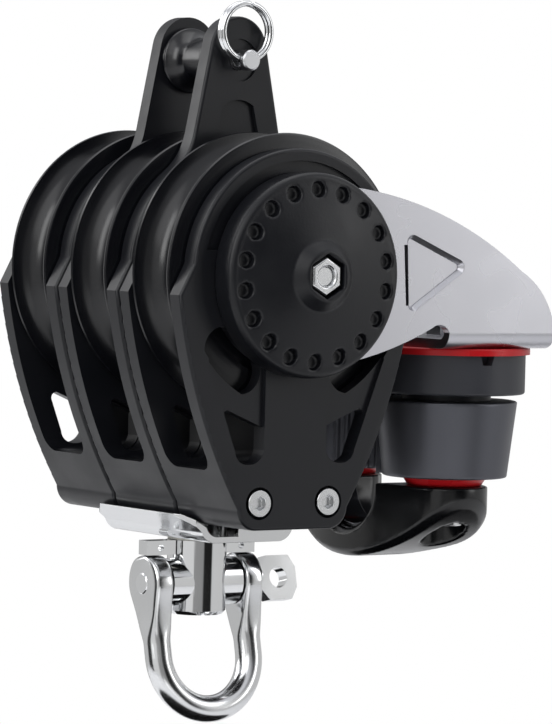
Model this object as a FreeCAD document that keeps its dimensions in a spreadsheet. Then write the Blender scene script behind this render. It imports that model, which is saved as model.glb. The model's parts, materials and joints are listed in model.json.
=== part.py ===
import FreeCAD, Part
import math
import os
import Sketcher

# Triple sailing block with a becket, a swivel shackle and a cam cleat on a side arm.
# The origin is the centre of the middle sheave. +X points to the cleat, +Y along the
# axle away from the near cheek, +Z up to the becket. All lengths are millimetres.

doc = FreeCAD.newDocument("triple_block")
sheet = doc.addObject("Spreadsheet::Sheet", "Sizes")

SIZES = {
    # sheaves and their bearings
    "sheave_radius": 28.5, "sheave_width": 13.8, "groove_depth": 5.9,
    "web_recess": 1.2, "side_gap": 0.75, "race_radius": 12.4, "ball_radius": 2.3,
    "ball_count": 14, "running_gap": 0.05, "axle_radius": 6.0,
    # bay shells
    "cheek": 3.8, "bay_gap": 0.5, "cheek_radius": 25.4, "shoulder_half": 28.6,
    "shoulder_drop": 4.2, "waist_half": 23.7, "waist_drop": 25.0, "foot_half": 13.4,
    "foot_drop": 47.2, "foot_flat": 9.2, "block_drop": 51.5, "floor_drop": 39.5,
    "edge_round": 0.7, "column_half": 7.6, "recess_depth": 0.9, "slot_outer": 27.2,
    "slot_inner": 19.4, "bottom_window_drop": 38.1, "step_radius": 23.0,
    # becket
    "becket_rise": 52.2, "becket_round": 6.9, "becket_root": 15.6, "becket_hollow": 14.0,
    "becket_pin_rise": 43.2, "clevis_radius": 2.1, "spool_flange": 6.8, "spool_core": 4.4,
    "panel_half": 5.0, "ring_radius": 5.8, "ring_wire": 0.6,
    # bottom screws
    "foot_screw_half": 8.4, "foot_screw_drop": 46.0, "foot_screw_radius": 2.0,
    "foot_head_radius": 2.7, "fit_gap": 0.05,
    # cleat arm and caps
    "arm_sheet": 2.0, "arm_gap": 0.1, "arm_disc": 19.2, "web_inset": 13.0, "web_reach": 14.4,
    "web_drop": 15.1, "bend_round": 3.4, "cap_radius": 20.7, "cap_rise": 6.1, "cap_holes": 18,
    "cap_hole_radius": 1.6, "cap_hole_ring": 17.3, "cap_dome": 2.1, "hub_radius": 7.1,
    "hub_height": 2.1, "bolt_radius": 2.0, "nut_flat": 3.5, "nut_height": 3.2,
    # cam cleat
    "pivot_reach": 49.5, "pivot_half": 19.0, "gasket": 1.5, "gasket_radius": 17.4,
    "base_height": 8.4, "base_radius": 16.5, "neck_height": 1.5, "neck_radius": 9.4,
    "cam_height": 16.2, "cam_radius": 15.0, "cam_taper": 2.0, "cam_lobe": 18.7,
    "bush_radius": 4.0, "cam_cap_height": 1.8, "cam_cap_radius": 8.9, "spring_wire": 0.7,
    "spring_radius": 6.3, "screw_radius": 2.5, "screw_nut_flat": 4.0, "screw_nut_height": 4.0,
    # fairlead
    "fairlead_depth": 16.2, "fairlead_half": 31.0, "eye_radius": 9.6, "eye_drop": 0.6,
    "fairlead_boss": 9.2, "lip_inset": 12.9, "throat_outset": 0.3, "liner_sheet": 0.9,
    # hanger strap and swivel
    "strap_sheet": 1.3, "strap_drop": 55.4, "strap_half": 9.0, "strap_rim": 15.6,
    "strap_rim_drop": 49.5, "strap_length": 18.4, "stem_radius": 3.0, "stem_head": 5.2,
    "washer_height": 0.8, "barrel_radius": 6.2, "barrel_drop": 71.7, "bar_half": 13.4,
    "bar_height": 3.0,
    # shackle
    "shackle_drop": 65.1, "shackle_rod": 2.8, "shackle_half": 11.2, "shackle_length": 26.7,
    "ear_radius": 5.8, "ear_sheet": 4.6, "shackle_pin": 2.5, "shackle_tilt": 13.0,
    "tab_half": 4.7, "tab_hole": 2.2, "tab_sheet": 3.0, "tab_reach": 19.7, "tab_length": 24.3,
}


class Size:
    """A length that knows its number and the sheet formula that gives it."""

    def __init__(self, number, formula):
        self.number = number
        self.formula = formula

    def __add__(self, other):
        other = size(other)
        return Size(self.number + other.number, f"({self.formula} + {other.formula})")

    def __sub__(self, other):
        other = size(other)
        return Size(self.number - other.number, f"({self.formula} - {other.formula})")

    def __mul__(self, other):
        other = size(other)
        return Size(self.number * other.number, f"({self.formula} * {other.formula})")

    def __truediv__(self, other):
        other = size(other)
        return Size(self.number / other.number, f"({self.formula} / {other.formula})")

    def __radd__(self, other):
        return size(other) + self

    def __rsub__(self, other):
        return size(other) - self

    def __rmul__(self, other):
        return size(other) * self

    def __neg__(self):
        return Size(-self.number, f"(-1 * {self.formula})")


def size(value):
    """A named length of the sheet, a plain number, or a Size as it is."""
    if isinstance(value, Size):
        return value
    if isinstance(value, str):
        return Size(float(sheet.get(value)), f"Sizes.{value}")
    return Size(float(value), repr(float(value)))


def root(value):
    return Size(math.sqrt(value.number), f"sqrt({value.formula})")


for row, (alias, number) in enumerate(SIZES.items(), start=1):
    sheet.set(f"A{row}", alias)
    sheet.set(f"B{row}", str(number))
    sheet.setAlias(f"B{row}", alias)
doc.recompute()
S = {alias: size(alias) for alias in SIZES}

NODES = []


def bind(thing, path, value):
    """Ties a property to its formula."""
    thing.setExpression(path, size(value).formula)


def new_body(label, x=0, y=0, z=0):
    """An empty body with its own label and placement."""
    body = doc.addObject("PartDesign::Body", label)
    body.Label = label
    body.AllowCompound = True
    for axis, value in zip("xyz", (x, y, z)):
        bind(body, f"Placement.Base.{axis}", value)
    NODES.append(body)
    return body


def origin_plane(body, role):
    return next(plane for plane in body.Origin.OriginFeatures if plane.Role == role)


def pin_point(sketch, geo, pos, x, y):
    """Holds one point of a sketch at the given sizes."""
    for kind, axis, value in (("DistanceX", -2, size(x)), ("DistanceY", -1, size(y))):
        if value.formula == "0.0":
            sketch.addConstraint(Sketcher.Constraint("PointOnObject", geo, pos, axis))
        else:
            held = Sketcher.Constraint(kind, -1, 1, geo, pos, value.number)
            index = sketch.addConstraint(held)
            sketch.setExpression(f"Constraints[{index}]", value.formula)


def vector(x, y):
    return FreeCAD.Vector(size(x).number, size(y).number, 0)


def left_turning_arc(start, middle, end):
    """The arc through three points, always drawn to the left as a sketch holds it."""
    backwards = (middle - start).cross(end - middle).z < 0
    if backwards:
        start, end = end, start
    centre = Part.Arc(start, middle, end).toShape().Curve.Center
    first = math.atan2(start.y - centre.y, start.x - centre.x)
    last = math.atan2(end.y - centre.y, end.x - centre.x)
    if last < first:
        last += 2 * math.pi
    circle = Part.Circle(centre, FreeCAD.Vector(0, 0, 1), (start - centre).Length)
    return Part.ArcOfCircle(circle, first, last), backwards


def draw_loop(sketch, loop):
    """A closed outline. A corner is (x, y), or (x, y, mid_x, mid_y) where an arc starts."""
    count = len(loop)
    edges = []
    for index, corner in enumerate(loop):
        end = vector(*loop[(index + 1) % count][:2])
        start = vector(*corner[:2])
        if len(corner) == 2:
            edges.append((sketch.addGeometry(Part.LineSegment(start, end), False), 1, 2))
        else:
            arc, backwards = left_turning_arc(start, vector(*corner[2:]), end)
            geo = sketch.addGeometry(arc, False)
            edges.append((geo, 2, 1) if backwards else (geo, 1, 2))
    for index, corner in enumerate(loop):
        geo, first, last = edges[index]
        ahead, ahead_first, _ = edges[(index + 1) % count]
        sketch.addConstraint(Sketcher.Constraint("Coincident", geo, last, ahead, ahead_first))
        pin_point(sketch, geo, first, *corner[:2])
        if len(corner) > 2:
            guide = sketch.addGeometry(Part.Point(vector(*corner[2:])), True)
            pin_point(sketch, guide, 1, *corner[2:])
            sketch.addConstraint(Sketcher.Constraint("PointOnObject", guide, 1, geo))


def draw_circle(sketch, x, y, radius):
    circle = Part.Circle(vector(x, y), FreeCAD.Vector(0, 0, 1), size(radius).number)
    geo = sketch.addGeometry(circle, False)
    pin_point(sketch, geo, 3, x, y)
    index = sketch.addConstraint(Sketcher.Constraint("Radius", geo, size(radius).number))
    bind(sketch, f"Constraints[{index}]", radius)


def new_sketch(body, plane, loops=(), circles=(), lift=0):
    """A sketch on one of the body's own planes, lifted along the plane's normal."""
    sketch = body.newObject("Sketcher::SketchObject", f"{body.Label}_sketch")
    sketch.AttachmentSupport = [(origin_plane(body, plane), "")]
    sketch.MapMode = "FlatFace"
    bind(sketch, "AttachmentOffset.Base.z", lift)
    for loop in loops:
        draw_loop(sketch, loop)
    for circle in circles:
        draw_circle(sketch, *circle)
    doc.recompute()
    return sketch


def grow(body, kind, sketch, length=None, middle=True, reverse=False):
    """A pad or a pocket of a sketch. With no length it goes through everything."""
    before = body.Shape.Volume if body.Shape and not body.Shape.isNull() else 0.0
    feature = body.newObject(f"PartDesign::{kind}", f"{body.Label}_{kind.lower()}")
    feature.Profile = sketch
    if length is None:
        feature.Type = 1
    else:
        bind(feature, "Length", length)
    feature.Midplane = middle
    feature.Reversed = reverse
    doc.recompute()
    change = body.Shape.Volume - before
    if (kind == "Pad") != (change > 0):
        raise RuntimeError(f"{feature.Label} changes the volume by {change:.3f}")
    return feature


def pad(body, sketch, length, **options):
    return grow(body, "Pad", sketch, length, **options)


def pocket(body, sketch, length=None, **options):
    return grow(body, "Pocket", sketch, length, **options)


def turn(body, sketch, axis="V_Axis", kind="Revolution", angle=360, reverse=False):
    """Turns a sketch about one of its own axes."""
    before = body.Shape.Volume if body.Shape and not body.Shape.isNull() else 0.0
    feature = body.newObject(f"PartDesign::{kind}", f"{body.Label}_{kind.lower()}")
    feature.Profile = sketch
    feature.ReferenceAxis = (sketch, [axis])
    feature.Angle = angle
    feature.Reversed = reverse
    doc.recompute()
    change = body.Shape.Volume - before
    if (kind == "Revolution") != (change > 0):
        raise RuntimeError(f"{feature.Label} changes the volume by {change:.3f}")
    return feature


def ease(body, radius, chosen, kind="Fillet"):
    """Rounds or chamfers the edges of the body's tip that the test picks."""
    tip = body.Tip
    names = [f"Edge{i}" for i, edge in enumerate(tip.Shape.Edges, start=1) if chosen(edge)]
    if not names:
        raise RuntimeError(f"{body.Label} has no such edge")
    feature = body.newObject(f"PartDesign::{kind}", f"{body.Label}_{kind.lower()}")
    feature.Base = (tip, names)
    bind(feature, "Radius" if kind == "Fillet" else "Size", radius)
    doc.recompute()
    return feature


def mirrored(half):
    """A closed outline from its right half, listed from the top down, mirrored in x."""
    other = []
    for index in range(len(half) - 1, -1, -1):
        x, y = half[index][:2]
        back = half[index - 1] if index else half[0]
        if index and len(back) > 2:
            other.append((-size(x), y, -size(back[2]), back[3]))
        else:
            other.append((-size(x), y))
    return list(half) + other


def shaped(label, shape, **placing):
    """A piece whose shape comes from curves that no sketch feature gives."""
    piece = doc.addObject("Part::Feature", label)
    piece.Label = label
    piece.Shape = shape
    for path, value in placing.items():
        bind(piece, f"Placement.Base.{path}", value)
    NODES.append(piece)
    return piece


def near(value, target, slack=0.02):
    return abs(value - size(target).number) < slack


def flat_in(edge, axis, target):
    """Whether an edge lies in the plane where that axis has the target value."""
    box = edge.BoundBox
    low = getattr(box, f"{axis}Min")
    high = getattr(box, f"{axis}Max")
    return near(low, target) and near(high, target)


# Widths across the axle that the whole block shares
cheek_in = S["sheave_width"] / 2 + S["side_gap"]
cheek_out = cheek_in + S["cheek"]
pitch = 2 * cheek_out + S["bay_gap"]
block_half = pitch + cheek_out
BAYS = {"near": -pitch, "middle": size(0), "far": pitch}


# Sheave with a round rope groove, a recessed web and a bore that is the outer ball race
def make_sheave(name, y):
    body = new_body(f"{name}_sheave", y=y)
    half = S["sheave_width"] / 2
    radius = S["sheave_radius"]
    groove = radius - S["groove_depth"]
    bore = S["race_radius"] + S["ball_radius"] * 0.55
    race = S["race_radius"] + S["ball_radius"] + S["running_gap"]
    rim = half - 1.0
    web = half - S["web_recess"]
    web_top = groove - 1.5
    web_foot = bore + 1.6
    track = S["ball_radius"] * 0.86
    profile = [
        (bore, -half), (web_foot, -half), (web_foot, -web), (web_top, -web), (web_top, -half),
        (radius - 0.6, -half), (radius, -half + 0.6), (radius, -rim, groove, 0), (radius, rim),
        (radius, half - 0.6), (radius - 0.6, half), (web_top, half), (web_top, web),
        (web_foot, web), (web_foot, half), (bore, half), (bore, track, race, 0), (bore, -track),
    ]
    turn(body, new_sketch(body, "XY_Plane", [profile]))
    return body


# Hub clamped between the cheeks: the inner ball race, bored for the axle tube
def make_hub(name, y):
    body = new_body(f"{name}_hub", y=y)
    half = cheek_in - S["fit_gap"]
    bore = S["axle_radius"] + S["fit_gap"]
    outside = S["race_radius"] - S["ball_radius"] * 0.55
    race = S["race_radius"] - S["ball_radius"] - S["running_gap"]
    track = S["ball_radius"] * 0.86
    profile = [(bore, -half), (outside, -half), (outside, -track, race, 0), (outside, track),
               (outside, half), (bore, half)]
    turn(body, new_sketch(body, "XY_Plane", [profile]))
    return body


# One row of bearing balls, loose between the two races
def make_balls(name, y):
    count = int(S["ball_count"].number)
    reach = S["race_radius"].number
    balls = []
    for index in range(count):
        angle = 2 * math.pi * index / count
        centre = FreeCAD.Vector(reach * math.cos(angle), 0, reach * math.sin(angle))
        balls.append(Part.makeSphere(S["ball_radius"].number, centre))
    return shaped(f"{name}_bearing_balls", Part.makeCompound(balls), y=y)


# Bay shell: two cheeks on one floor, with windows each side of a plain column. The middle
# one carries on upwards as the two becket arms.
def bay_outline(with_becket):
    circle = S["cheek_radius"]
    sides = [
        (root(circle * circle - 4), 2),
        (S["shoulder_half"], -S["shoulder_drop"], S["waist_half"], -S["waist_drop"]),
        (S["foot_half"], -S["foot_drop"], S["foot_half"] - 1.0, -S["block_drop"] + 1.6),
        (S["foot_flat"], -S["block_drop"]),
    ]
    if with_becket:
        top = S["becket_rise"] - S["becket_round"]
        lean = S["becket_round"]
        # A straight flank touches the top arc and a hollow arc that runs into the cheek
        flare = S["becket_root"] / circle
        slope = root(1 - flare * flare)
        hollow = S["becket_hollow"]
        away = circle + hollow
        dx = away * flare
        dz = away * slope - top
        reach = lean + hollow
        span = dx * dx + dz * dz
        side = root(span - reach * reach)
        nx = (reach * dx - side * dz) / span
        nz = (reach * dz + side * dx) / span
        half = [
            (lean * nx, top + lean * nz),
            (away * flare - hollow * nx, away * slope - hollow * nz,
             away * flare - hollow * 0.887, away * slope - hollow * 0.4618),
            (circle * flare, circle * slope, circle * 0.891, circle * 0.454),
        ] + sides
        return mirrored_from_arc(half, (0, S["becket_rise"]))
    return mirrored_from_arc(sides, (0, circle))


def mirrored_from_arc(half, crown):
    """Mirrors a right half whose two top ends are joined by an arc over the crown."""
    loop = mirrored(half)
    last = loop[-1]
    loop[-1] = (last[0], last[1], crown[0], crown[1])
    return loop


def window_loops(side):
    """The lower window and the curved upper slot on one side of the column."""
    column = S["column_half"]
    foot = S["bottom_window_drop"]
    mid = (S["slot_outer"] + S["slot_inner"]) / 2
    lower = [
        (side * column, -foot + 7.4),
        (side * column, -foot + 2.8, side * (column + 1.4), -foot + 0.6),
        (side * (column + 3.8), -foot, side * (column + 6.0), -foot + 0.7),
        (side * (column + 7.0), -foot + 2.6),
        (side * (column + 9.6), -foot + 9.4, side * (column + 9.4), -foot + 10.4),
        (side * (column + 8.4), -foot + 10.9),
    ]
    outer = S["slot_outer"]
    inner = S["slot_inner"]
    start, middle, end = ((math.cos(math.radians(a)), -math.sin(math.radians(a)))
                          for a in (34.0, 48.0, 62.0))
    first = (mid * math.cos(math.radians(28.5)), -mid * math.sin(math.radians(28.5)))
    last = (mid * math.cos(math.radians(67.5)), -mid * math.sin(math.radians(67.5)))
    slot = [
        (side * outer * start[0], outer * start[1], side * outer * middle[0], outer * middle[1]),
        (side * outer * end[0], outer * end[1], side * last[0], last[1]),
        (side * inner * end[0], inner * end[1], side * inner * middle[0], inner * middle[1]),
        (side * inner * start[0], inner * start[1], side * first[0], first[1]),
    ]
    return [lower, slot]


def recess_loop(side):
    """The shallow panel that holds both windows of one side."""
    column = S["column_half"]
    foot = S["bottom_window_drop"]
    return [
        (side * column, -16.0), (side * column, -foot + 2.8, side * (column + 1.4), -foot + 0.6),
        (side * (column + 3.8), -foot, side * (column + 6.0), -foot + 0.7),
        (side * (column + 7.0), -foot + 2.6), (side * (S["waist_half"] - 2.2), -17.2),
        (side * (S["waist_half"] - 3.0), -13.0), (side * 15.0, -10.0),
    ]


def make_shell(name, y):
    body = new_body(f"{name}_bay_shell", y=y)
    with_becket = name == "middle"
    pad(body, new_sketch(body, "XZ_Plane", [bay_outline(with_becket)]), 2 * cheek_out)
    ease(body, S["edge_round"], lambda edge: flat_in(edge, "Y", cheek_out)
         or flat_in(edge, "Y", -cheek_out))
    roof = S["becket_rise"] + 5
    wide = S["shoulder_half"] + 5
    slot = [(wide, roof), (wide, -S["floor_drop"]), (-wide, -S["floor_drop"]), (-wide, roof)]
    pocket(body, new_sketch(body, "XZ_Plane", [slot]), 2 * cheek_in)
    ease(body, 3.0, lambda edge: flat_in(edge, "Z", -S["floor_drop"])
         and edge.BoundBox.YLength < 0.1)
    for face, reverse in ((1, False), (-1, True)):
        panels = new_sketch(body, "XZ_Plane", [recess_loop(1), recess_loop(-1)],
                            lift=face * cheek_out)
        pocket(body, panels, S["recess_depth"], middle=False, reverse=reverse)
        crown = S["step_radius"]
        step = [(crown * 0.978, crown * 0.208, 0, crown), (-crown * 0.978, crown * 0.208)]
        groove = new_sketch(body, "XZ_Plane", [step], lift=face * cheek_out)
        pocket(body, groove, S["recess_depth"], middle=False, reverse=reverse)
    pocket(body, new_sketch(body, "XZ_Plane", window_loops(1) + window_loops(-1)))
    screw = S["foot_screw_radius"] + S["fit_gap"]
    holes = [(0, 0, S["axle_radius"] + S["fit_gap"])]
    holes += [(side * S["foot_screw_half"], -S["foot_screw_drop"], screw) for side in (1, -1)]
    if with_becket:
        holes.append((0, S["becket_pin_rise"], S["clevis_radius"] + S["fit_gap"]))
    pocket(body, new_sketch(body, "XZ_Plane", circles=holes))
    if with_becket:
        finish_becket(body)
        anchor = [(anchor_half + 0.1, anchor_wide + 0.1), (anchor_half + 0.1, -anchor_wide - 0.1),
                  (-anchor_half - 0.1, -anchor_wide - 0.1), (-anchor_half - 0.1, anchor_wide + 0.1)]
        hollow = new_sketch(body, "XY_Plane", [anchor], lift=-S["block_drop"])
        pocket(body, hollow, S["block_drop"] - anchor_top, middle=False, reverse=True)
        rivets = [(0, side * rivet_reach, 1.0 + S["fit_gap"]) for side in (1, -1)]
        seats = new_sketch(body, "XY_Plane", circles=rivets, lift=-S["block_drop"])
        pocket(body, seats, rivet_depth + 0.3, middle=False, reverse=True)
    else:
        face = cheek_out if name == "near" else -cheek_out
        seats = [(side * S["foot_screw_half"], -S["foot_screw_drop"], S["foot_head_radius"] + 0.6)
                 for side in (1, -1)]
        seat = new_sketch(body, "XZ_Plane", circles=seats, lift=face)
        pocket(body, seat, 2.4, middle=False, reverse=name == "far")
    return body


def finish_becket(body):
    """The shallow panels and the pin seats on the outer faces of the becket arms."""
    low = root(S["cheek_radius"] * S["cheek_radius"] - 25) + 3.6
    panel = [(S["panel_half"] * 0.74, low + 5.4), (S["panel_half"], low), (-S["panel_half"], low),
             (-S["panel_half"] * 0.74, low + 5.4, 0, low + 6.6)]
    for face, reverse in ((1, False), (-1, True)):
        sketch = new_sketch(body, "XZ_Plane", [panel], lift=face * cheek_out)
        pocket(body, sketch, S["recess_depth"], middle=False, reverse=reverse)
        seat = new_sketch(body, "XZ_Plane", circles=[(0, S["becket_pin_rise"], 4.4)],
                          lift=face * cheek_out)
        pocket(body, seat, 0.5, middle=False, reverse=reverse)


# Anchor block in the floor of the middle bay: both bottom screws pass through it, and it
# holds the swivel's head
anchor_top = S["foot_screw_drop"] - S["foot_screw_radius"] - 1.5
anchor_half = S["foot_screw_half"] + S["foot_screw_radius"] + 0.9
anchor_wide = cheek_in - 1.4
anchor_step = S["block_drop"] - 2.0
strap_floor = S["strap_drop"] - S["strap_sheet"]
rivet_reach = cheek_in + S["cheek"] / 2
rivet_depth = size(4.5)


def make_anchor():
    body = new_body("anchor_block")
    block = [(anchor_half, anchor_wide), (anchor_half, -anchor_wide), (-anchor_half, -anchor_wide),
             (-anchor_half, anchor_wide)]
    pad(body, new_sketch(body, "XY_Plane", [block], lift=-anchor_step), anchor_step - anchor_top,
        middle=False)
    foot = new_sketch(body, "XY_Plane", circles=[(0, 0, S["stem_head"] + 0.5)], lift=-strap_floor)
    pad(body, foot, strap_floor - anchor_step, middle=False)
    stem = new_sketch(body, "XY_Plane", circles=[(0, 0, S["stem_radius"] + S["fit_gap"])])
    pocket(body, stem)
    seat = new_sketch(body, "XY_Plane", circles=[(0, 0, S["stem_head"] + 0.1)], lift=-anchor_top)
    pocket(body, seat, head_floor - anchor_top, middle=False)
    screws = [(side * S["foot_screw_half"], -S["foot_screw_drop"],
               S["foot_screw_radius"] + S["fit_gap"]) for side in (1, -1)]
    pocket(body, new_sketch(body, "XZ_Plane", circles=screws))
    return body


# The swivel's head bears on this level inside the anchor block
head_height = size(2.6)
head_floor = anchor_top + 1.2 + head_height


# Axle: a steel tube through all the cheeks, with one bolt and nut that clamp the arm
def make_axle():
    tube = new_body("axle_tube")
    bore = S["bolt_radius"] + S["running_gap"]
    ring = new_sketch(tube, "XZ_Plane", circles=[(0, 0, S["axle_radius"]), (0, 0, bore)])
    pad(tube, ring, 2 * block_half)


def hexagon(half_flat, lift):
    """Corners of a hexagon with its points up, centred at the given height."""
    across = half_flat * 1.1547
    corners = ((0.0, 1.0), (0.866, 0.5), (0.866, -0.5), (0.0, -1.0), (-0.866, -0.5), (-0.866, 0.5))
    return [(across * x, lift + across * y) for x, y in corners]


wing_in = block_half + S["arm_gap"]
wing_out = wing_in + S["arm_sheet"]
cap_seat = wing_out + S["arm_gap"]
cap_face = block_half + S["cap_rise"]
dome_face = cap_face + S["cap_dome"]
hub_face = dome_face + S["hub_height"]
nut_face = hub_face - 0.6
nut_floor = nut_face - S["nut_height"]


def make_axle_bolt():
    bolt = new_body("axle_bolt")
    shank = new_sketch(bolt, "XZ_Plane", circles=[(0, 0, S["bolt_radius"])],
                       lift=nut_face - 0.8)
    pad(bolt, shank, 2 * nut_face - 1.2, middle=False, reverse=True)
    head = new_sketch(bolt, "XZ_Plane", [hexagon(S["nut_flat"], size(0))], lift=-nut_floor)
    pad(bolt, head, S["nut_height"] - 0.4, middle=False, reverse=True)
    nut = new_body("axle_nut")
    blank = new_sketch(nut, "XZ_Plane", [hexagon(S["nut_flat"], size(0))],
                       [(0, 0, S["bolt_radius"] + 0.02)], lift=nut_floor)
    pad(nut, blank, S["nut_height"], middle=False)
    ease(nut, 0.4, lambda edge: flat_in(edge, "Y", -nut_face), kind="Chamfer")


# Round caps that clamp the arm: domed faces, a ring of blind holes, a raised hub with a
# hexagon recess, and a rim that is cut away where the arm comes out
def make_cap(name, face):
    body = new_body(f"{name}_cap")
    radius = S["cap_radius"]
    rim = cap_face - 1.3
    hub = S["hub_radius"]
    bore = S["bolt_radius"] + 0.15
    seat = S["arm_disc"] + S["arm_gap"]
    profile = [
        (bore, face * cap_seat), (seat, face * cap_seat), (seat, face * (block_half + S["arm_gap"])),
        (radius, face * (block_half + S["arm_gap"])),
        (radius, face * rim, radius - 0.5, face * (rim + 0.8)), (radius - 1.7, face * (rim + 1.1)),
        (hub, face * dome_face), (hub - 0.3, face * (dome_face + 0.4)),
        (hub - 1.9, face * (hub_face - 0.2)), (hub - 2.2, face * hub_face),
        (bore, face * hub_face),
    ]
    turn(body, new_sketch(body, "XY_Plane", [profile]))
    depth = hub_face - nut_floor
    recess = new_sketch(body, "XZ_Plane", [hexagon(S["nut_flat"] + 0.5, size(0))],
                        lift=-face * hub_face)
    pocket(body, recess, depth, middle=False, reverse=face > 0)
    first = new_sketch(body, "XZ_Plane", circles=[(0, S["cap_hole_ring"], S["cap_hole_radius"])],
                       lift=-face * (cap_face + 1))
    hole = pocket(body, first, 2.6, middle=False, reverse=face > 0)
    ring = body.newObject("PartDesign::PolarPattern", f"{name}_cap_holes")
    ring.Originals = [hole]
    ring.Axis = (origin_axis(body, "Y_Axis"), [""])
    ring.Angle = 360
    bind(ring, "Occurrences", S["cap_holes"])
    body.Tip = ring
    doc.recompute()
    gate = [(0, radius + 2), (radius + 2, radius + 2), (radius + 2, -radius - 2), (0, -radius - 2)]
    opening = new_sketch(body, "XZ_Plane", [gate], lift=-face * block_half)
    pocket(body, opening, cap_seat - block_half, middle=False, reverse=face < 0)
    return body


def origin_axis(body, role):
    return next(axis for axis in body.Origin.OriginFeatures if axis.Role == role)


# Cleat arm: one stainless plate bent into a channel, with two wings on the axle and a level
# web that the cleat is screwed to
def make_arm():
    body = new_body("cleat_arm")
    disc = S["arm_disc"]
    drop = S["web_drop"]
    end = S["pivot_reach"] + S["web_reach"]
    start = S["pivot_reach"] - S["web_inset"]
    wing = [
        (disc * 0.32, disc * 0.9474, end * 0.477, disc * 0.719),
        (end - 8.9, disc * 0.052, end - 2.7, -drop * 0.303),
        (end, -drop + 3.5), (end, -drop), (start, -drop),
        (start, -drop + 3.4, start - 2.0, -drop + 5.0),
        (start - 4.4, -drop + 4.4, disc * 0.92, -disc * 0.84),
        (disc * 0.25, -disc * 0.9682, -disc, 0),
    ]
    pad(body, new_sketch(body, "XZ_Plane", [wing]), 2 * wing_out)
    top = disc + 5
    inner = [(-disc - 5, top), (end + 5, top), (end + 5, -drop + S["arm_sheet"]),
             (start - 0.01, -drop + S["arm_sheet"]), (start - 0.01, -disc - 5), (-disc - 5, -disc - 5)]
    pocket(body, new_sketch(body, "XZ_Plane", [inner]), 2 * wing_in)
    ease(body, S["bend_round"], lambda edge: flat_in(edge, "Z", -drop)
         and near(abs(edge.BoundBox.YMin), wing_out) and near(abs(edge.BoundBox.YMax), wing_out)
         and edge.BoundBox.YLength < 0.1)
    ease(body, S["bend_round"] - S["arm_sheet"],
         lambda edge: flat_in(edge, "Z", -drop + S["arm_sheet"])
         and near(abs(edge.BoundBox.YMin), wing_in) and edge.BoundBox.YLength < 0.1)
    pocket(body, new_sketch(body, "XZ_Plane", circles=[(0, 0, S["bolt_radius"] + 0.15)]))
    holes = [(S["pivot_reach"], side * S["pivot_half"], S["screw_radius"] + 0.1)
             for side in (1, -1)]
    pocket(body, new_sketch(body, "XY_Plane", circles=holes))
    press_panels(body, disc + 4.9)
    return body


def press_panels(body, left):
    """The triangle pressed into each wing, lanced through along its side by the axle."""
    panel = [
        (left + 1.9, 6.6, left + 2.2, 7.4), (left + 3.0, 7.4), (left + 14.2, 2.6, left + 14.8, 1.9),
        (left + 14.3, 1.1), (left + 3.5, -6.1, left + 2.8, -6.3), (left + 2.5, -5.6),
    ]
    for face, reverse in ((1, False), (-1, True)):
        press = new_sketch(body, "XZ_Plane", [panel], lift=face * wing_out)
        pocket(body, press, 1.1, middle=False, reverse=reverse)
    edge_of_panel = size(left + 15.2).number
    ease(body, 0.9, lambda edge: (flat_in(edge, "Y", wing_out) or flat_in(edge, "Y", -wing_out))
         and edge.BoundBox.XMin > size(left).number + 0.5 and edge.BoundBox.XMax < edge_of_panel
         and edge.BoundBox.ZMax < 8 and edge.BoundBox.ZMin > -8, kind="Chamfer")
    lance = [(left + 0.3, 6.3), (left + 1.7, 6.3), (left + 2.3, -6.1), (left + 1.1, -6.1)]
    pocket(body, new_sketch(body, "XZ_Plane", [lance]))


# Cam cleat, hung under the web of the arm: gasket, base, two toothed cams on bushes
gasket_level = S["web_drop"]
base_level = gasket_level + S["gasket"]
neck_level = base_level + S["base_height"]
cam_level = neck_level + S["neck_height"]
cam_foot = cam_level + S["cam_height"]
cap_level = cam_foot + 0.1
lead_level = cap_level + S["cam_cap_height"]
PIVOTS = {"near": -S["pivot_half"], "far": S["pivot_half"]}


def stadium(radius):
    """An oval round both cam pivots."""
    x = S["pivot_reach"]
    y = S["pivot_half"]
    return [(x + radius, y, x, y + radius), (x - radius, y), (x - radius, -y, x, -y - radius),
            (x + radius, -y)]


def pivot_holes(radius):
    return [(S["pivot_reach"], y, radius) for y in PIVOTS.values()]


def make_cleat_base():
    clear = S["screw_radius"] + 0.1
    gasket = new_body("cleat_gasket")
    pad(gasket, new_sketch(gasket, "XY_Plane", [stadium(S["gasket_radius"])], pivot_holes(clear),
                           lift=-base_level), S["gasket"], middle=False)
    ease(gasket, 0.5, lambda edge: flat_in(edge, "Z", -gasket_level) and edge.Length > 20)
    base = new_body("cleat_base")
    pad(base, new_sketch(base, "XY_Plane", [stadium(S["base_radius"])], lift=-neck_level),
        S["base_height"], middle=False)
    ease(base, 0.6, lambda edge: flat_in(edge, "Z", -neck_level))
    pad(base, new_sketch(base, "XY_Plane", circles=pivot_holes(S["neck_radius"]),
                         lift=-cam_level + S["fit_gap"]), S["neck_height"] - S["fit_gap"] + 0.5,
        middle=False)
    pocket(base, new_sketch(base, "XY_Plane", circles=pivot_holes(clear)))
    reach = S["pivot_half"] + S["base_radius"]
    x = S["pivot_reach"]
    notch = [(x - 3.4, -base_level), (x - 0.1, -base_level), (x - 0.7, -base_level - 2.0),
             (x - 2.8, -base_level - 2.0)]
    for face, reverse in ((1, False), (-1, True)):
        pocket(base, new_sketch(base, "XZ_Plane", [notch], lift=face * (reach - 2.2)), 3.5,
               middle=False, reverse=not reverse)
    lane = [(x + 30, 5.2), (x - 30, 5.2), (x - 30, -5.2), (x + 30, -5.2)]
    pocket(base, new_sketch(base, "XY_Plane", [lane], lift=-neck_level), 0.8, middle=False,
           reverse=True)


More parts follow.
